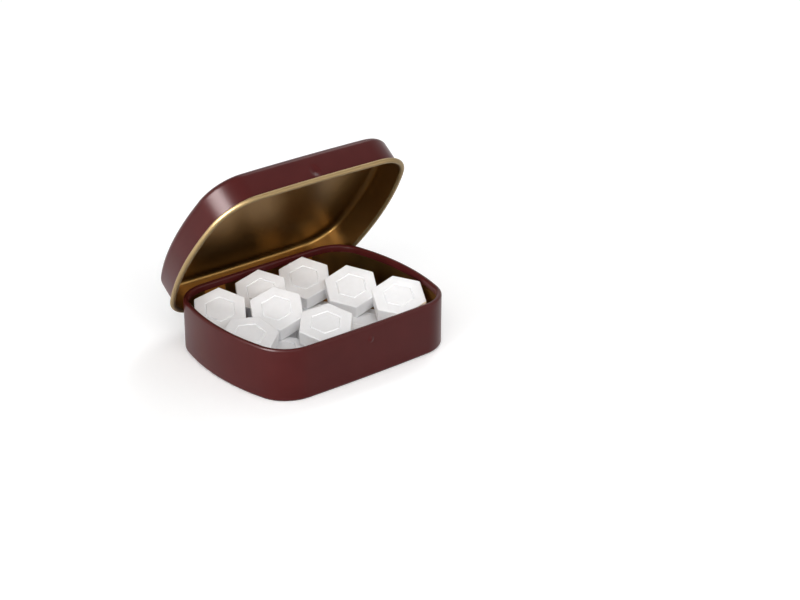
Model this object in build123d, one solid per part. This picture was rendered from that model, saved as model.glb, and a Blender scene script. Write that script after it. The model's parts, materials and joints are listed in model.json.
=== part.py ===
from build123d import *
import math
import os

# Pocket mint tin with a hinged lid, standing open, filled with hexagonal tablets
# Millimetres and degrees, +Z up, front towards -Y, hinge towards +Y
# Origin at the middle of the flat underside of the tray

# Driving dimensions of the tin
tin_width = 60.0
tin_depth = 47.0
sheet = 0.22
tray_height = 14.0
closed_height = 15.0
bead_height = 6.6
lid_clearance = 0.62
open_angle = 54.0

# Plan outline: four bowed sides joined by round corners
corner_radius = 9.8
side_bow_radius = 62.0
front_bow_radius = 640.0

# Tray details
tray_edge_radius = 0.9
hem_depth = 1.8
hem_fold_gap = 0.86
hem_edge_radius = 0.6

# Lid details
lid_edge_radius = 1.7
bead_radius = 0.67
curl_end_angle = 118.0

# Hinge: two tongues lanced from the tray's rear wall and curled round the bead
tongue_width = 6.0
tongue_spacing = 28.0
pin_clearance = 0.17
tongue_end_angle = -138.0
tongue_lead = 1.9
tongue_root_lap = 0.5
window_side_gap = 0.25
window_head_land = 0.3
notch_side_gap = 0.35
notch_foot = 0.34
notch_height = 1.35
notch_depth_margin = 0.14

# Snap fastening: a bump on the tray's front, dropped below the rim, and a dimple in the lid's
# front, a step lower than the bump when the lid is shut
bump_rise = 0.3
bump_width = 1.9
bump_drop = 3.7
dimple_rise = 0.19
dimple_width = 3.6
dimple_step = 0.8

# Tablets
tablet_corner_radius = 7.4
tablet_thickness = 4.3
tablet_edge = 0.3
tablet_gap = 0.25
tablet_wall_gap = 0.1
tablet_corner_room = 3.9
seat_gap = 0.03
groove_inset = 3.1
groove_width = 0.45
groove_depth = 0.2

# Room that every cut runs on past the sheet it goes through
overrun = 1.0

# Sizes that follow from those above
half_width = tin_width / 2
half_depth = tin_depth / 2
skirt_offset = lid_clearance + sheet
bead_offset = lid_clearance + bead_radius
hem_width = 2 * sheet + hem_fold_gap
bump_height = tray_height - bump_drop
dimple_height = bump_height - dimple_step
barrel_bore = bead_radius + pin_clearance
barrel_radius = barrel_bore + sheet
tongue_places = (-tongue_spacing / 2, tongue_spacing / 2)


def corner_frame():
    """Centres of the right side's bow, the back's bow and the corner that is tangent to both."""
    side_centre = Vector(half_width - side_bow_radius, 0)
    back_centre = Vector(0, half_depth - front_bow_radius)
    side_reach = side_bow_radius - corner_radius
    back_reach = front_bow_radius - corner_radius
    span = back_centre - side_centre
    along = (side_reach**2 - back_reach**2 + span.length**2) / (2 * span.length)
    across = math.sqrt(side_reach**2 - along**2)
    unit = span.normalized()
    normal = Vector(-unit.Y, unit.X)
    corner = side_centre + unit * along + normal * across
    if corner.X < 0 or corner.Y < 0:
        corner = side_centre + unit * along - normal * across
    return side_centre, back_centre, corner


SIDE_CENTRE, BACK_CENTRE, CORNER_CENTRE = corner_frame()


def outline(offset):
    """The tin's plan outline, grown outwards by an offset, as a closed wire at height zero."""
    to_side = (CORNER_CENTRE - SIDE_CENTRE).normalized()
    to_back = (CORNER_CENTRE - BACK_CENTRE).normalized()
    to_middle = (to_side + to_back).normalized()
    side_end = CORNER_CENTRE + to_side * (corner_radius + offset)
    back_end = CORNER_CENTRE + to_back * (corner_radius + offset)
    turn = CORNER_CENTRE + to_middle * (corner_radius + offset)

    def place(point, flip_x, flip_y):
        return (flip_x * point.X, flip_y * point.Y)

    edges = []
    for flip_x, flip_y in ((1, 1), (-1, 1), (-1, -1), (1, -1)):
        start, end = (side_end, back_end) if flip_x == flip_y else (back_end, side_end)
        edges.append(
            ThreePointArc(
                place(start, flip_x, flip_y), place(turn, flip_x, flip_y), place(end, flip_x, flip_y)
            )
        )
        if flip_x == flip_y:
            middle = (0, flip_y * (half_depth + offset))
            edges.append(
                ThreePointArc(place(back_end, flip_x, flip_y), middle, place(back_end, -flip_x, flip_y))
            )
        else:
            middle = (flip_x * (half_width + offset), 0)
            edges.append(
                ThreePointArc(place(side_end, flip_x, flip_y), middle, place(side_end, flip_x, -flip_y))
            )
    return Wire(edges)


def slab(offset, bottom, top):
    """A solid with the plan outline, grown by an offset, between two heights."""
    face = Face(outline(offset))
    return extrude(Pos(0, 0, bottom) * face, top - bottom)


def back_wall_y(x):
    """Y of the tray's outer rear face at a place along the hinge."""
    return BACK_CENTRE.Y + math.sqrt(front_bow_radius**2 - x**2)


def ball_for_cap(rise, width):
    """Radius of the ball whose cap has this rise over this width."""
    half = width / 2
    return (half**2 + rise**2) / (2 * rise)


HINGE_Y = back_wall_y(tongue_spacing / 2) + bead_offset
HINGE_Z = bead_height


def tongue(x):
    """One hinge tongue: up from its root in the wall, over the bead, down and under it."""
    wall_y = back_wall_y(x)
    root_z = HINGE_Z - tongue_lead
    foot_z = root_z - tongue_root_lap
    strap_y = HINGE_Y - barrel_radius
    side = Plane.YZ.offset(x - tongue_width / 2)
    strap = Polyline(
        (wall_y - sheet, foot_z),
        (wall_y, foot_z),
        (wall_y, root_z),
        (strap_y + sheet, HINGE_Z),
        (strap_y, HINGE_Z),
        (wall_y - sheet, root_z),
        close=True,
    )
    turn = 180 - tongue_end_angle
    middle = tongue_end_angle + turn / 2

    def at(radius, angle):
        reach = math.radians(angle)
        return (HINGE_Y + radius * math.cos(reach), HINGE_Z + radius * math.sin(reach))

    outer_arc = ThreePointArc(
        at(barrel_radius, 180), at(barrel_radius, middle), at(barrel_radius, tongue_end_angle)
    )
    inner_arc = ThreePointArc(
        at(barrel_bore, tongue_end_angle), at(barrel_bore, middle), at(barrel_bore, 180)
    )
    free_end = Line(outer_arc @ 1, inner_arc @ 0)
    joined = Line(inner_arc @ 1, outer_arc @ 0)
    curl = Face(Wire([outer_arc, free_end, inner_arc, joined]))
    along = (1, 0, 0)
    body = extrude(side * Face(Wire(strap.edges())), tongue_width, dir=along)
    body += extrude(side * curl, tongue_width, dir=along)
    return body


def make_tray():
    """The drawn tray: rounded foot, rolled rim, snap bump, rear windows and hinge tongues."""
    outer = slab(0, 0, tray_height)
    outer = fillet(outer.edges().group_by(Axis.Z)[0], tray_edge_radius)
    bump_ball = ball_for_cap(bump_rise, bump_width)
    bump_centre = Pos(0, -half_depth - bump_rise + bump_ball, bump_height) * Rot(X=90)
    outer += bump_centre * Sphere(bump_ball)

    hollow = slab(-sheet, sheet, tray_height - hem_depth + overrun)
    hollow = fillet(hollow.edges().group_by(Axis.Z)[0], tray_edge_radius - sheet)
    hollow += bump_centre * Sphere(bump_ball - sheet)
    mouth = slab(-hem_width, tray_height - hem_depth, tray_height + overrun)
    throat = slab(-sheet, sheet + tray_edge_radius, tray_height - hem_depth)
    shell = outer - (hollow & slab(overrun, 0, tray_height - hem_depth)) - throat - mouth
    shell = fillet(shell.edges().group_by(Axis.Z)[-1], hem_edge_radius)
    fold = slab(-sheet, tray_height - hem_depth - overrun, tray_height - sheet)
    fold -= slab(sheet - hem_width, tray_height - hem_depth - overrun, tray_height - sheet)
    shell -= fillet(fold.edges().group_by(Axis.Z)[-1], hem_edge_radius - sheet)

    root_z = HINGE_Z - tongue_lead
    developed = tongue_lead + math.radians(180 - tongue_end_angle) * (barrel_bore + sheet / 2)
    head_z = min(root_z + developed, tray_height - hem_depth - window_head_land)
    for x in tongue_places:
        window = Box(
            tongue_width + 2 * window_side_gap,
            sheet + 2 * overrun,
            head_z - root_z,
            align=(Align.CENTER, Align.CENTER, Align.MIN),
        )
        shell -= Pos(x, back_wall_y(x) - sheet / 2, root_z) * window
        shell += tongue(x)
    return shell


def bead_ring():
    """The lid's rolled edge: a sheet curled outwards round a hollow, left open by a slit."""
    turn = 180 + curl_end_angle
    middle = curl_end_angle - turn / 2
    inner_radius = bead_radius - sheet

    def at(centre_distance, radius, angle):
        reach = math.radians(angle)
        return (centre_distance + radius * math.cos(reach), bead_height + radius * math.sin(reach))

    def section(bend_radius):
        distance = bend_radius + bead_offset
        outer_arc = ThreePointArc(
            at(distance, bead_radius, -180), at(distance, bead_radius, middle),
            at(distance, bead_radius, curl_end_angle),
        )
        inner_arc = ThreePointArc(
            at(distance, inner_radius, curl_end_angle), at(distance, inner_radius, middle),
            at(distance, inner_radius, -180),
        )
        sides = [Line(outer_arc @ 1, inner_arc @ 0), Line(inner_arc @ 1, outer_arc @ 0)]
        return Face(Wire([outer_arc, inner_arc] + sides))

    def bend(centre, bend_radius, start, sweep_angle):
        face = Pos(centre.X, centre.Y, 0) * Rot(Z=start) * (Plane.XZ * section(bend_radius))
        return revolve(face, Axis((centre.X, centre.Y, 0), (0, 0, 1)), sweep_angle)

    to_side = CORNER_CENTRE - SIDE_CENTRE
    to_back = CORNER_CENTRE - BACK_CENTRE
    side_end = math.degrees(math.atan2(to_side.Y, to_side.X))
    back_start = math.degrees(math.atan2(to_back.Y, to_back.X))
    right = bend(SIDE_CENTRE, side_bow_radius, -side_end, 2 * side_end)
    corner = bend(CORNER_CENTRE, corner_radius, side_end, back_start - side_end)
    back = bend(BACK_CENTRE, front_bow_radius, back_start, 2 * (90 - back_start))
    back_half = Part() + [corner, back, mirror(corner, about=Plane.YZ)]
    front_half = mirror(back_half, about=Plane.XZ)
    return back_half + front_half + right + mirror(right, about=Plane.YZ)


def make_lid():
    """The drawn lid, modelled closed: top, skirt, rolled bead, snap dimple and hinge notches."""
    outer = slab(skirt_offset, bead_height, closed_height)
    outer = fillet(outer.edges().group_by(Axis.Z)[-1], lid_edge_radius)
    hollow = slab(lid_clearance, bead_height - overrun, closed_height - sheet)
    hollow = fillet(hollow.edges().group_by(Axis.Z)[-1], lid_edge_radius - sheet)
    dimple_ball = ball_for_cap(dimple_rise, dimple_width)
    inner_face_y = -half_depth - lid_clearance
    dimple_centre = Pos(0, inner_face_y + dimple_rise - dimple_ball, dimple_height) * Rot(X=90)
    outer -= dimple_centre * Sphere(dimple_ball - sheet)
    hollow -= dimple_centre * Sphere(dimple_ball)
    shell = outer - hollow
    shell += bead_ring()
    for x in tongue_places:
        skirt_y = back_wall_y(x) + lid_clearance
        notch = Box(
            tongue_width + 2 * notch_side_gap,
            sheet + 2 * notch_depth_margin,
            notch_height,
            align=(Align.CENTER, Align.CENTER, Align.MIN),
        )
        shell -= Pos(x, skirt_y + sheet / 2, bead_height + notch_foot) * notch
    return shell


def swing_lid(shape, angle):
    """A closed lid's shape, swung open about the hinge."""
    hinge = Pos(0, HINGE_Y, HINGE_Z)
    return hinge * Rot(X=-angle) * hinge.inverse() * shape


def make_tablet():
    """One pressed tablet: a flat hexagon with eased edges and a hexagonal line on each face."""
    height = tablet_thickness
    body = extrude(RegularPolygon(tablet_corner_radius, 6), height / 2, both=True)
    rims = body.edges().group_by(Axis.Z)
    body = chamfer(rims[0] + rims[-1], tablet_edge)
    line = RegularPolygon(tablet_corner_radius - groove_inset, 6)
    line -= RegularPolygon(tablet_corner_radius - groove_inset - groove_width, 6)
    for level in (height / 2, -height / 2):
        body -= Pos(0, 0, level) * extrude(line, groove_depth, both=True)
    return body


def resting_place(blank, x, y, lean, heading, spin, low):
    """Place of a tablet turned by spin and tipped by lean towards a heading, its lowest corner at low."""
    turn = Rot(Z=heading) * Rot(Y=lean) * Rot(Z=spin - heading)
    lift = low - (turn * blank).bounding_box().min.Z
    return Pos(x, y, lift) * turn


def inside_walls(point, margin):
    """Whether a point lies inside the tin's outline drawn in by a margin."""
    spot = Vector(abs(point.X), abs(point.Y))
    from_corner = spot - CORNER_CENTRE
    to_side = CORNER_CENTRE - SIDE_CENTRE
    to_back = CORNER_CENTRE - BACK_CENTRE
    past_side = from_corner.cross(to_side).Z < 0
    past_back = from_corner.cross(to_back).Z > 0
    if past_side and past_back:
        return from_corner.length < corner_radius - margin
    in_side = (spot - SIDE_CENTRE).length < side_bow_radius - margin
    in_back = (spot - BACK_CENTRE).length < front_bow_radius - margin
    return in_side and in_back


def has_room(piece, others):
    """Whether a tablet clears the tray's wall and rim and every tablet laid before it."""
    for corner in piece.vertices():
        wall = hem_width if corner.Z > tray_height - hem_depth else sheet
        if not inside_walls(corner.center(), wall + tablet_wall_gap):
            return False
    return all(piece.distance_to(other) > seat_gap / 2 for other in others)


# Bottom layer: a honeycomb from the front wall back, with the places left empty at the rear right
tablet_flat_radius = tablet_corner_radius * math.sqrt(3) / 2
pitch = 2 * tablet_flat_radius + tablet_gap
row_pitch = pitch * math.sqrt(3) / 2
flat_turn_angle = 30.0
empty_places = ((2, 3),)

# Upper layer: x and y as shares of the tin's half width and half depth, then lean, heading and spin
view_heading = 231.0
upper_places_shares = (
    (-0.087, -0.374, 16.0, view_heading - 2, 18.0),
    (-0.273, 0.183, 25.0, view_heading, 30.0),
    (-0.713, -0.094, 14.0, view_heading + 20, 6.0),
    (0.487, 0.123, 25.0, view_heading, 32.0),
    (0.280, 0.630, 25.0, view_heading, 28.0),
    (0.700, -0.370, 20.0, view_heading - 4, 33.0),
    (-0.647, 0.566, 24.0, view_heading + 6, 27.0),
    (-0.170, 0.645, 25.0, view_heading, 30.0),
)


def bottom_places():
    """Middles of the flat tablets: full rows and rows between them, spread over the tin's width."""
    reach = half_width - tablet_corner_room - tablet_flat_radius
    columns = 1 + int(2 * reach // pitch)
    step = 2 * reach / (columns - 1)
    first_y = -half_depth + sheet + 3 * tablet_gap + tablet_corner_radius
    rows = 1 + int((half_depth - sheet - tablet_corner_radius - first_y) // row_pitch)
    places = []
    for row in range(rows):
        offset = row % 2
        for column in range(columns - offset):
            if (row, column) not in empty_places:
                x = -reach + (column + offset / 2) * step
                places.append((x, first_y + row * row_pitch))
    return places


def make_tablets():
    """All tablets that the tray has room for: a flat layer and a leaning layer heaped on it."""
    blank = extrude(RegularPolygon(tablet_corner_radius, 6), tablet_thickness / 2, both=True)
    layer_top = sheet + tablet_thickness + seat_gap
    places = [resting_place(blank, x, y, 0, 0, flat_turn_angle, sheet) for x, y in bottom_places()]
    for x_share, y_share, lean, heading, spin in upper_places_shares:
        x, y = x_share * half_width, y_share * half_depth
        places.append(resting_place(blank, x, y, lean, heading, spin, layer_top))
    tablet = make_tablet()
    blanks, laid = [], []
    for place in places:
        if has_room(place * blank, blanks):
            blanks.append(place * blank)
            laid.append(place * tablet)
    return laid


nodes = {
    "tray": make_tray(),
    "lid": swing_lid(make_lid(), open_angle),
}
for number, piece in enumerate(make_tablets(), start=1):
    nodes[f"mint_{number:02d}"] = piece

os.makedirs("parts", exist_ok=True)
for name, shape in nodes.items():
    export_step(shape, f"parts/{name}.step")
print("hinge axis y z", round(HINGE_Y, 3), round(HINGE_Z, 3), "parts", len(nodes))
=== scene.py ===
import json
import math

import bmesh
import bpy
from mathutils import Matrix, Vector
from mathutils.geometry import intersect_sphere_sphere_2d


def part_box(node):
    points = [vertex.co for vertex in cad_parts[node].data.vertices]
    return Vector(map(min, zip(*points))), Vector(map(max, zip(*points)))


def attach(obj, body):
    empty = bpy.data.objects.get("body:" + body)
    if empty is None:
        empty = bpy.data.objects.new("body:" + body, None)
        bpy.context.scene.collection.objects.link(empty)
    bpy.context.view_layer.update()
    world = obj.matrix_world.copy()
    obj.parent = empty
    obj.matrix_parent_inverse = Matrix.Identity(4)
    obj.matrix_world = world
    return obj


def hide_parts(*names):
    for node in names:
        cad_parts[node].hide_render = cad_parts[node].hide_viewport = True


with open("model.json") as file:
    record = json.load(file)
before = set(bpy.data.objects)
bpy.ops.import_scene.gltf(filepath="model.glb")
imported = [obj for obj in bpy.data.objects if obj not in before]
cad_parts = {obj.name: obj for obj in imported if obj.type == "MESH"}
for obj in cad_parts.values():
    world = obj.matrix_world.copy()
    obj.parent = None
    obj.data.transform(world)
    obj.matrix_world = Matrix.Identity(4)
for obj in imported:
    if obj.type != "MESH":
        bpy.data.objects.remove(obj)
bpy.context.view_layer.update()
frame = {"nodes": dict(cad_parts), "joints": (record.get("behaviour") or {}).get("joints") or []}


# Tray: one sheet of tinplate, drawn into a shallow dish, printed burgundy outside and lacquered
# gold inside. Its rim is rolled inwards, a bump is pressed into its front wall, and two tongues,
# lanced out of its rear wall, are curled rearwards to hold the lid's rolled edge.
mm = 0.001
sheet = 0.22 * mm
half_width, half_depth = 30 * mm, 23.5 * mm
side_radius, rear_radius, corner_radius = 62 * mm, 640 * mm, 9.8 * mm
half_rear_steps, corner_steps, side_steps, front_steps = 24, 30, 32, 48
side_centre = Vector((half_width - side_radius, 0))
rear_centre = Vector((0, half_depth - rear_radius))
corner_centre = max(
    intersect_sphere_sphere_2d(
        side_centre, side_radius - corner_radius, rear_centre, rear_radius - corner_radius
    ),
    key=sum,
)
half_side_turn = Vector((1, 0)).angle(corner_centre - side_centre)
half_rear_turn = Vector((0, 1)).angle(corner_centre - rear_centre)
corner_turn = math.pi / 2 - half_side_turn - half_rear_turn

tray_height = 14 * mm
panel_inset = 4 * mm
foot_radius = 0.9 * mm
rim_radius = 0.65 * mm
fold_end = 12.2 * mm
hinge = Vector(frame["joints"][0]["pos_m"])
tongue_spacing, tongue_width, tongue_bore = 28 * mm, 6 * mm, 0.84 * mm
tongue_root, tongue_turn = hinge.z - 1.9 * mm, math.radians(318)
window_width, window_head = 6.5 * mm, 11.87 * mm
bump_height, bump_rise, bump_radius = 10.3 * mm, 0.32 * mm, 1.05 * mm
square_on = 0.9  # how much of its normal lies along an axis when a face looks that way
cut_edge_ease, cut_edge_angle = 0.04 * mm, math.radians(50)

paint_dark, paint_light = (0.052, 0.0069, 0.0064), (0.067, 0.0095, 0.0088)
paint_smooth, paint_rough, paint_gloss = 0.285, 0.33, 0.13
paint_cloud, lacquer_cloud = 6 * mm, 9 * mm
peel_size, peel_depth = 0.5 * mm, 0.0003 * mm


def start_section(offset, height):
    """A new sheet of metal, begun as one point of its section at the middle of the rear wall."""
    metal = bmesh.new()
    return metal, metal.verts.new((0, half_depth + offset, height))


def run_to(metal, tip, offset, height):
    """Draws the section on in a straight line, to a place off the tin's outline."""
    tip = bmesh.ops.extrude_vert_indiv(metal, verts=[tip])["verts"][0]
    tip.co = (0, half_depth + offset, height)
    return tip


def bend(metal, tip, offset, height, turn, steps):
    """Draws the section on in a round bend about a centre, by a turn in degrees."""
    swung = bmesh.ops.spin(
        metal, geom=[tip], cent=(0, half_depth + offset, height), axis=(1, 0, 0),
        angle=math.radians(turn), steps=steps,
    )
    return [v for v in swung["geom_last"] if isinstance(v, bmesh.types.BMVert)][0]


def draw_round_tin(metal):
    """Draws the section once round the tin: four bowed sides and four round corners."""
    x, y = corner_centre
    bends = (
        (0, rear_centre.y, half_rear_turn, half_rear_steps),
        (x, y, corner_turn, corner_steps),
        (side_centre.x, 0, 2 * half_side_turn, side_steps),
        (x, -y, corner_turn, corner_steps),
        (0, -rear_centre.y, 2 * half_rear_turn, front_steps),
        (-x, -y, corner_turn, corner_steps),
        (-side_centre.x, 0, 2 * half_side_turn, side_steps),
        (-x, y, corner_turn, corner_steps),
        (0, rear_centre.y, half_rear_turn, half_rear_steps),
    )
    section = metal.verts[:] + metal.edges[:]
    for x, y, turn, steps in bends:
        section = bmesh.ops.spin(
            metal, geom=section, cent=(x, y, 0), axis=(0, 0, -1), angle=turn, steps=steps
        )["geom_last"]
    bmesh.ops.remove_doubles(metal, verts=metal.verts, dist=sheet / 10)


def close_panel(metal, height, facing):
    """Closes the flat middle of the sheet, and turns the printed side outwards."""
    level = sheet / 9
    ring = [
        e for e in metal.edges
        if e.is_boundary and all(abs(v.co.z - height) < level for v in e.verts)
    ]
    panel = bmesh.ops.edgeloop_fill(metal, edges=ring)["faces"]
    bmesh.ops.recalc_face_normals(metal, faces=metal.faces)
    if panel[0].normal.z * facing < 0:
        bmesh.ops.reverse_faces(metal, faces=metal.faces)


def upright(metal, facing, lowest, highest):
    """Faces of the upright rear (facing 1) or front (facing -1) wall between two heights."""
    return [
        f for f in metal.faces
        if f.normal.y * facing > square_on and lowest < f.calc_center_median().z < highest
    ]


def score(metal, faces, place, direction):
    """Scores a line across some faces, for an opening's edge to follow."""
    near = set(faces)
    near.update(edge for face in faces for edge in face.edges)
    near.update(vert for face in faces for vert in face.verts)
    bmesh.ops.bisect_plane(
        metal, geom=list(near), dist=sheet / 1000, plane_co=place, plane_no=direction
    )


def cut_openings(metal, lowest, highest, foot, head, width):
    """Cuts the two openings that the hinge's tongues need out of the rear wall."""
    for middle in (-tongue_spacing / 2, tongue_spacing / 2):
        for side in (-width / 2, width / 2, -tongue_width / 2, tongue_width / 2):
            score(metal, upright(metal, 1, lowest, highest), (middle + side, 0, 0), (1, 0, 0))
    for height in (foot, head):
        score(metal, upright(metal, 1, lowest, highest), (0, 0, height), (0, 0, 1))
    cut = [
        f for f in upright(metal, 1, foot, head)
        if abs(abs(f.calc_center_median().x) - tongue_spacing / 2) < width / 2
    ]
    bmesh.ops.delete(metal, geom=cut, context="FACES")


def press_snap(metal, lowest, highest, height, rise, radius):
    """Presses the round snap bump, or with a negative rise the dimple, into the front wall."""
    reach = 1.2 * radius
    for side in (-reach, reach):
        score(metal, upright(metal, -1, lowest, highest), (side, 0, 0), (1, 0, 0))
        score(metal, upright(metal, -1, lowest, highest), (0, 0, height + side), (0, 0, 1))
    patch = [
        f for f in upright(metal, -1, height - reach, height + reach)
        if abs(f.calc_center_median().x) < reach
    ]
    edges = {edge for face in patch for edge in face.edges}
    bmesh.ops.subdivide_edges(metal, edges=list(edges), cuts=7, use_grid_fill=True)
    for vert in metal.verts:
        away = math.hypot(vert.co.x, vert.co.z - height)
        if vert.co.y < 0 and away < radius:
            vert.co.y -= rise * (1 - (away / radius) ** 2) ** 2


def curl_tongues(metal):
    """Raises the two tongues from the foot of their windows and curls them round the hinge."""
    tiny = sheet / 50
    roots = [
        e for e in metal.edges
        if e.is_boundary and all(
            abs(v.co.z - tongue_root) < tiny
            and abs(abs(v.co.x) - tongue_spacing / 2) < tongue_width / 2 + tiny
            for v in e.verts
        )
    ]
    raised = bmesh.ops.extrude_edge_only(metal, edges=roots)["geom"]
    tips = [v for v in raised if isinstance(v, bmesh.types.BMVert)]
    for tip in tips:
        tip.co.y, tip.co.z = hinge.y - tongue_bore, hinge.z
    ends = [
        e for e in raised
        if isinstance(e, bmesh.types.BMEdge) and all(v in tips for v in e.verts)
    ]
    bmesh.ops.spin(
        metal, geom=tips + ends, cent=hinge, axis=(-1, 0, 0), angle=tongue_turn, steps=40
    )


def finish_pressing(metal, name, finishes):
    """Gives the drawn sheet its thickness and finishes, with its cut edges slightly eased.

    After each outside finish, the list holds the one of its inside and the one of its cut edges.
    """
    mesh = bpy.data.meshes.new(name)
    metal.to_mesh(mesh)
    metal.free()
    mesh.shade_smooth()
    for finish in finishes:
        mesh.materials.append(finish)
    piece = bpy.data.objects.new(name, mesh)
    bpy.context.scene.collection.objects.link(piece)
    wall = piece.modifiers.new("sheet", "SOLIDIFY")
    wall.thickness, wall.offset, wall.use_even_offset = sheet, -1, True
    wall.material_offset, wall.material_offset_rim = 1, 2
    ease = piece.modifiers.new("eased edges", "BEVEL")
    ease.width, ease.segments, ease.limit_method = cut_edge_ease, 2, "ANGLE"
    ease.angle_limit, ease.harden_normals = cut_edge_angle, True
    return piece


def new_finish(name):
    """A new material, with its node tree and its shader."""
    finish = bpy.data.materials.new(name)
    finish.use_nodes = True
    return finish, finish.node_tree, finish.node_tree.nodes["Principled BSDF"]


def grain(tree, size, detail=3):
    """Cloudy grain fixed to the piece, of about this size."""
    place = tree.nodes.new("ShaderNodeTexCoord")
    noise = tree.nodes.new("ShaderNodeTexNoise")
    noise.inputs["Scale"].default_value = 1 / size
    noise.inputs["Detail"].default_value = detail
    tree.links.new(place.outputs["Object"], noise.inputs["Vector"])
    return noise.outputs["Fac"]


def spread(tree, value, low, high):
    """Spreads a grain over a range of values."""
    node = tree.nodes.new("ShaderNodeMapRange")
    node.inputs["To Min"].default_value, node.inputs["To Max"].default_value = low, high
    tree.links.new(value, node.inputs["Value"])
    return node.outputs["Result"]


def tint(tree, value, dark, light):
    """A colour between two, as the grain goes."""
    ramp = tree.nodes.new("ShaderNodeValToRGB")
    first, last = ramp.color_ramp.elements
    first.color, last.color = (*dark, 1), (*light, 1)
    tree.links.new(value, ramp.inputs["Fac"])
    return ramp.outputs["Color"]


def relief(tree, shader, value, depth):
    """Fine relief of the surface, as deep as given."""
    bump = tree.nodes.new("ShaderNodeBump")
    bump.inputs["Distance"].default_value = depth
    tree.links.new(value, bump.inputs["Height"])
    tree.links.new(bump.outputs["Normal"], shader.inputs["Normal"])


def make_paint():
    """Satin burgundy print, stoved on: smooth and very slightly cloudy."""
    finish, tree, shader = new_finish("burgundy_paint")
    clouds = grain(tree, paint_cloud, 1)
    tree.links.new(tint(tree, clouds, paint_dark, paint_light), shader.inputs["Base Color"])
    tree.links.new(spread(tree, clouds, paint_smooth, paint_rough), shader.inputs["Roughness"])
    shader.inputs["Specular IOR Level"].default_value = paint_gloss
    return finish


def make_lacquer(name, dark, light, smooth, rough):
    """Gold lacquer over bright tin: soft, very slightly cloudy, with a trace of orange peel."""
    finish, tree, shader = new_finish(name)
    clouds = grain(tree, lacquer_cloud)
    tree.links.new(tint(tree, clouds, dark, light), shader.inputs["Base Color"])
    tree.links.new(spread(tree, clouds, smooth, rough), shader.inputs["Roughness"])
    relief(tree, shader, grain(tree, peel_size, 2), peel_depth)
    shader.inputs["Metallic"].default_value = 1
    return finish


paint = make_paint()
# Painted shade: the lacquer inside the tray and lid is a darker, more orange copy of the bead's
# lacquer, so that the inside looks shaded.
shaded_inside_lacquer = make_lacquer(
    "gold_lacquer_inside_painted_shade", dark=(0.245, 0.137, 0.041), light=(0.282, 0.160, 0.049),
    smooth=0.31, rough=0.38,
)
bare_edge = make_lacquer(
    "bare_tin_edge", dark=(0.16, 0.10, 0.05), light=(0.24, 0.17, 0.09), smooth=0.35, rough=0.5
)

metal, tip = start_section(-panel_inset, 0)
tip = run_to(metal, tip, -foot_radius, 0)
tip = bend(metal, tip, -foot_radius, foot_radius, turn=90, steps=10)
tip = run_to(metal, tip, 0, tray_height - rim_radius)
tip = bend(metal, tip, -rim_radius, tray_height - rim_radius, turn=180, steps=12)
run_to(metal, tip, -2 * rim_radius, fold_end)
draw_round_tin(metal)
close_panel(metal, 0, -1)
wall_foot, wall_head = foot_radius, tray_height - rim_radius
cut_openings(metal, wall_foot, wall_head, tongue_root, window_head, window_width)
press_snap(metal, wall_foot, wall_head, bump_height, bump_rise, bump_radius)
curl_tongues(metal)
tray = finish_pressing(metal, "painted_tray", (paint, shaded_inside_lacquer, bare_edge))
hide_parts("tray")
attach(tray, "base")


# Lid: the same tinplate, drawn the other way up. Its edge is rolled outwards into a gold bead,
# which stiffens it and is the hinge's pin. Two slots above the bead let the tray's tongues
# through, and a dimple at the front snaps under the tray's bump.
closed_height = 15 * mm
lid_edge_radius = 1.7 * mm
skirt = 0.84 * mm
bead_centre, bead_turn = 1.29 * mm, 298
slot_width, slot_foot, slot_head = 6.7 * mm, 6.94 * mm, 8.29 * mm
dimple_height, dimple_depth, dimple_radius = 9.5 * mm, 0.38 * mm, 1.8 * mm
open_angle = math.radians(54)

metal, tip = start_section(-panel_inset, closed_height)
tip = run_to(metal, tip, skirt - lid_edge_radius, closed_height)
wall_foot, wall_head = hinge.z, closed_height - lid_edge_radius
tip = bend(metal, tip, skirt - lid_edge_radius, wall_head, turn=-90, steps=14)
tip = run_to(metal, tip, skirt, wall_foot)
bend(metal, tip, bead_centre, hinge.z, turn=bead_turn, steps=34)
draw_round_tin(metal)
close_panel(metal, closed_height, 1)
cut_openings(metal, wall_foot, wall_head, slot_foot, slot_head, slot_width)
press_snap(metal, wall_foot, wall_head, dimple_height, -dimple_depth, dimple_radius)
bead_finish = 3  # the fourth finish in the lid's list, where its bead's three begin
for face in metal.faces:
    under_skirt = face.calc_center_median().z < hinge.z
    looks_down = face.normal.z < -0.02
    if under_skirt or looks_down:
        face.material_index = bead_finish
bmesh.ops.rotate(
    metal, verts=metal.verts, cent=hinge, matrix=Matrix.Rotation(-open_angle, 3, "X")
)
# The bead's lacquer is the same lacquer as the inside's; the inside's copy is the darker one,
# with shade painted into it.
bead_lacquer = make_lacquer(
    "gold_lacquer_bead", dark=(0.225, 0.159, 0.078), light=(0.260, 0.185, 0.092),
    smooth=0.47, rough=0.53,
)
lid = finish_pressing(
    metal, "painted_lid", (paint, shaded_inside_lacquer, bare_edge, paint, bead_lacquer, bare_edge)
)
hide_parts("lid")
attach(lid, "lid")


# Mints: tablets pressed from sugar powder in a six-sided die, matt white, with eased edges and a
# fine line in both faces. They lie loose, a flat layer below and a leaning one heaped on it.
mint_corners, mint_radius, mint_thickness = 6, 7.4 * mm, 4.3 * mm
mint_edge = 0.26 * mm
line_inset, line_width, line_depth = 2.69 * mm, 0.39 * mm, 0.29 * mm
line_slope, line_bed = 0.3 * line_width, 0.4 * line_width
crease_ease, crease_angle, flatness = 0.03 * mm, math.radians(25), 90
mint_names = [name for name in sorted(frame["nodes"]) if name.startswith("mint_")]

sugar_dark, sugar_light = (0.83, 0.83, 0.84), (0.89, 0.89, 0.90)
sugar_smooth, sugar_rough, sugar_gloss = 0.45, 0.7, 0.35
powder_size, pit_size, pit_depth = 1.4 * mm, 0.22 * mm, 0.007 * mm
soak_share, soak_colour, soak_depth = 0.15, (1, 0.95, 0.9), 0.6 * mm


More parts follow.
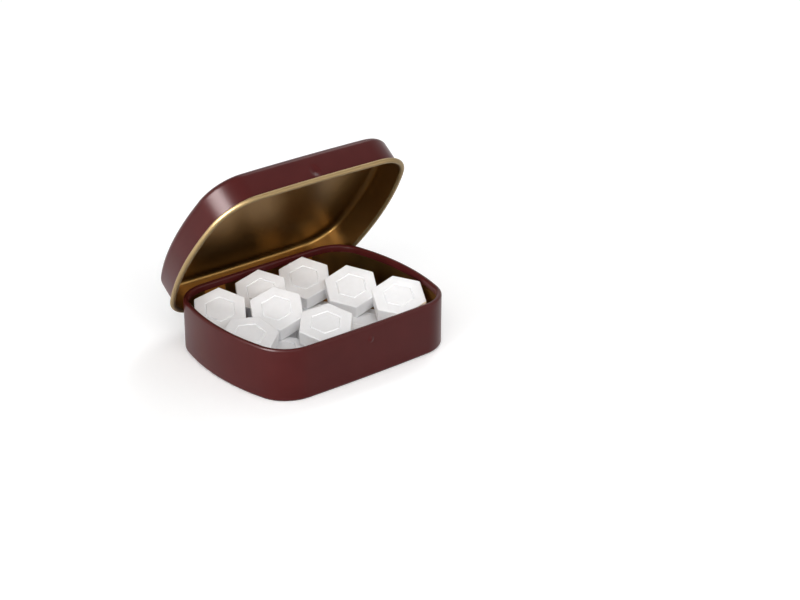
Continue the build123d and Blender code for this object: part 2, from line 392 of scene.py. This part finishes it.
def press_mint():
    """One tablet at the middle of the die, with a corner along X."""
    mint = bmesh.new()
    bmesh.ops.create_circle(mint, cap_ends=True, radius=mint_radius, segments=mint_corners)
    risen = bmesh.ops.extrude_face_region(mint, geom=mint.faces[:])["geom"]
    top = [v for v in risen if isinstance(v, bmesh.types.BMVert)]
    bmesh.ops.translate(mint, verts=top, vec=(0, 0, mint_thickness))
    bmesh.ops.translate(mint, verts=mint.verts, vec=(0, 0, -mint_thickness / 2))
    bmesh.ops.recalc_face_normals(mint, faces=mint.faces)
    bmesh.ops.bevel(
        mint, geom=mint.edges[:], affect="EDGES", offset=mint_edge, segments=4, profile=0.5,
        material=-1,
    )
    both_faces = [
        f for f in mint.faces if abs(f.normal.z) > square_on and len(f.verts) == mint_corners
    ]
    for face in both_faces:
        for inset, rise in (
            (line_inset - mint_edge, 0), (line_slope, -line_depth), (line_bed, 0),
            (line_slope, line_depth),
        ):
            bmesh.ops.inset_region(
                mint, faces=[face], thickness=inset, depth=rise, use_even_offset=True
            )
    return mint


def lying_place(name):
    """Where a tablet lies: its middle, the way its face looks and the way a corner points."""
    shape = frame["nodes"][name].data
    lowest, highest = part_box(name)
    middle = (lowest + highest) / 2
    facets = {}
    for face in shape.polygons:
        looks_up = face.normal.z > 0.5
        if looks_up:
            way = tuple(round(part, 1) for part in face.normal)
            facets.setdefault(way, []).append(face.normal * face.area)
    largest = max(facets.values(), key=lambda parts: sum(parts, Vector()).length)
    up = sum(largest, Vector()).normalized()
    corner = max((v.co - middle for v in shape.vertices), key=lambda away: away.length)
    along = (corner - up * corner.dot(up)).normalized()
    turned = Matrix((along, up.cross(along), up)).transposed()
    return Matrix.Translation(middle) @ turned.to_4x4()


def make_sugar():
    """Pressed sugar: chalky white, slightly rough, with a faint mottle of powder."""
    finish, tree, shader = new_finish("pressed_sugar")
    powder = grain(tree, powder_size, 5)
    tree.links.new(tint(tree, powder, sugar_dark, sugar_light), shader.inputs["Base Color"])
    tree.links.new(spread(tree, powder, sugar_smooth, sugar_rough), shader.inputs["Roughness"])
    relief(tree, shader, grain(tree, pit_size, 4), pit_depth)
    shader.inputs["Specular IOR Level"].default_value = sugar_gloss
    shader.inputs["Subsurface Weight"].default_value = soak_share
    shader.inputs["Subsurface Radius"].default_value = soak_colour
    shader.inputs["Subsurface Scale"].default_value = soak_depth
    return finish


sugar = make_sugar()
for name in mint_names:
    mint = press_mint()
    bmesh.ops.transform(mint, matrix=lying_place(name), verts=mint.verts)
    mesh = bpy.data.meshes.new("pressed_" + name)
    mint.to_mesh(mesh)
    mint.free()
    mesh.materials.append(sugar)
    tablet = bpy.data.objects.new("pressed_" + name, mesh)
    bpy.context.scene.collection.objects.link(tablet)
    mesh.shade_smooth()
    ease = tablet.modifiers.new("eased edges", "BEVEL")
    ease.width, ease.segments, ease.limit_method = crease_ease, 2, "ANGLE"
    ease.angle_limit = crease_angle
    level = tablet.modifiers.new("level faces", "WEIGHTED_NORMAL")
    level.weight = flatness
    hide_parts(name)
    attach(tablet, "base")


# Floor, lamps and camera: a plain white floor in a light studio whose ceiling is a little darker.
# Soft lamps stand in front, at both sides and above the rear, and a reflector at the left shows
# only as gloss. The camera looks down on the tin from the left of its front.
white = (1, 1, 1, 1)
floor_half = 3
floor_near, floor_far = 0.2, 0.9
glow_near, glow_far = 0.11, 0.6
floor_bounce = (0.6, 0.6, 0.6, 1)
room_light = 0.45
ceiling_start, ceiling_full, ceiling_tone = 0.35, 0.8, 0.5
tin_middle = Vector((0, 0, 15 * mm))


def seen_directly(tree):
    """1 for what the camera sees itself, in a reflection or through glass, and otherwise 0."""
    ray = tree.nodes.new("ShaderNodeLightPath")
    value = ray.outputs["Is Camera Ray"]
    for kind in ("Is Glossy Ray", "Is Transmission Ray"):
        larger = tree.nodes.new("ShaderNodeMath")
        larger.operation = "MAXIMUM"
        tree.links.new(value, larger.inputs[0])
        tree.links.new(ray.outputs[kind], larger.inputs[1])
        value = larger.outputs["Value"]
    return value


def make_floor():
    """White floor that keeps the tin's shadow and, farther off, turns as bright as the room."""
    finish = bpy.data.materials.new("white_floor")
    finish.use_nodes = True
    tree = finish.node_tree
    tree.nodes.clear()
    seen = tree.nodes.new("ShaderNodeBsdfDiffuse")
    seen.inputs["Color"].default_value = white
    lighting = tree.nodes.new("ShaderNodeBsdfDiffuse")
    lighting.inputs["Color"].default_value = floor_bounce
    place = tree.nodes.new("ShaderNodeTexCoord")
    distance = tree.nodes.new("ShaderNodeVectorMath")
    distance.operation = "LENGTH"
    fade = tree.nodes.new("ShaderNodeMapRange")
    fade.inputs["From Min"].default_value = floor_near
    fade.inputs["From Max"].default_value = floor_far
    fade.inputs["To Min"].default_value = glow_near
    fade.inputs["To Max"].default_value = glow_far
    glow = tree.nodes.new("ShaderNodeEmission")
    both = tree.nodes.new("ShaderNodeAddShader")
    mix = tree.nodes.new("ShaderNodeMixShader")
    output = tree.nodes.new("ShaderNodeOutputMaterial")
    for source, target in (
        (place.outputs["Object"], distance.inputs["Vector"]),
        (distance.outputs["Value"], fade.inputs["Value"]),
        (fade.outputs["Result"], glow.inputs["Strength"]),
        (seen.outputs["BSDF"], both.inputs[0]),
        (glow.outputs["Emission"], both.inputs[1]),
        (seen_directly(tree), mix.inputs["Fac"]),
        (lighting.outputs["BSDF"], mix.inputs[1]),
        (both.outputs["Shader"], mix.inputs[2]),
        (mix.outputs["Shader"], output.inputs["Surface"]),
    ):
        tree.links.new(source, target)
    return finish


def hang_lamp(name, direction, distance, width, height, power):
    """A soft rectangular lamp, facing the middle of the tin from a direction."""
    lamp = bpy.data.lights.new(name, "AREA")
    lamp.shape, lamp.size, lamp.size_y, lamp.energy = "RECTANGLE", width, height, power
    stand = bpy.data.objects.new(name, lamp)
    away = Vector(direction).normalized()
    stand.location = tin_middle + away * distance
    stand.rotation_euler = away.to_track_quat("Z", "Y").to_euler()
    stand.visible_camera = False
    bpy.context.scene.collection.objects.link(stand)
    return stand


ground = bmesh.new()
bmesh.ops.create_grid(ground, x_segments=1, y_segments=1, size=floor_half)
floor_mesh = bpy.data.meshes.new("floor")
ground.to_mesh(floor_mesh)
ground.free()
floor_mesh.materials.append(make_floor())
floor = bpy.data.objects.new("floor", floor_mesh)
bpy.context.scene.collection.objects.link(floor)

room = bpy.data.worlds.new("studio")
room.use_nodes = True
bpy.context.scene.world = room
sky = room.node_tree
air = sky.nodes["Background"]
air.inputs["Color"].default_value = white
aim = sky.nodes.new("ShaderNodeTexCoord")
parts = sky.nodes.new("ShaderNodeSeparateXYZ")
ceiling = sky.nodes.new("ShaderNodeMapRange")
ceiling.inputs["From Min"].default_value = ceiling_start
ceiling.inputs["From Max"].default_value = ceiling_full
ceiling.inputs["To Min"].default_value = 1
ceiling.inputs["To Max"].default_value = ceiling_tone
strength = sky.nodes.new("ShaderNodeMapRange")
strength.inputs["To Min"].default_value = room_light
sky.links.new(aim.outputs["Generated"], parts.inputs["Vector"])
sky.links.new(parts.outputs["Z"], ceiling.inputs["Value"])
sky.links.new(ceiling.outputs["Result"], strength.inputs["To Max"])
sky.links.new(seen_directly(sky), strength.inputs["Value"])
sky.links.new(strength.outputs["Result"], air.inputs["Strength"])

hang_lamp("overhead_lamp", (0.57, 0.3, 0.76), distance=0.8, width=0.24, height=0.24, power=1.3)
hang_lamp("front_lamp", (-0.35, -0.7, 0.6), distance=0.8, width=0.8, height=0.5, power=3.8)
hang_lamp("right_lamp", (0.6, -0.78, 0.25), distance=0.8, width=0.3, height=0.3, power=0.9)
hang_lamp("left_lamp", (-0.95, -0.2, 0.14), distance=0.7, width=0.4, height=0.2, power=3.2)
reflector = hang_lamp(
    "left_reflector", (-0.83, -0.02, 0.56), distance=0.6, width=0.35, height=0.4, power=20
)
reflector.visible_diffuse = False

azimuth, elevation, roll = (math.radians(turn) for turn in (-39.553, 25.162, 0.227))
camera_target, camera_distance = Vector((25.65 * mm, -3.51 * mm, 6 * mm)), 503.66 * mm
back = Vector((
    math.sin(azimuth) * math.cos(elevation),
    -math.cos(azimuth) * math.cos(elevation),
    math.sin(elevation),
))
right = Vector((math.cos(azimuth), math.sin(azimuth), 0))
upright_view = Matrix((right, back.cross(right), back)).transposed()
view = upright_view @ Matrix.Rotation(roll, 3, "Z")
eye = bpy.data.cameras.new("camera")
eye.sensor_width, eye.lens = 36, 86.94
eye.clip_start, eye.clip_end = 0.01, 20
camera = bpy.data.objects.new("camera", eye)
camera.matrix_world = Matrix.Translation(camera_target + back * camera_distance) @ view.to_4x4()
bpy.context.scene.collection.objects.link(camera)
bpy.context.scene.camera = camera
bpy.context.scene.view_settings.view_transform = "Standard"
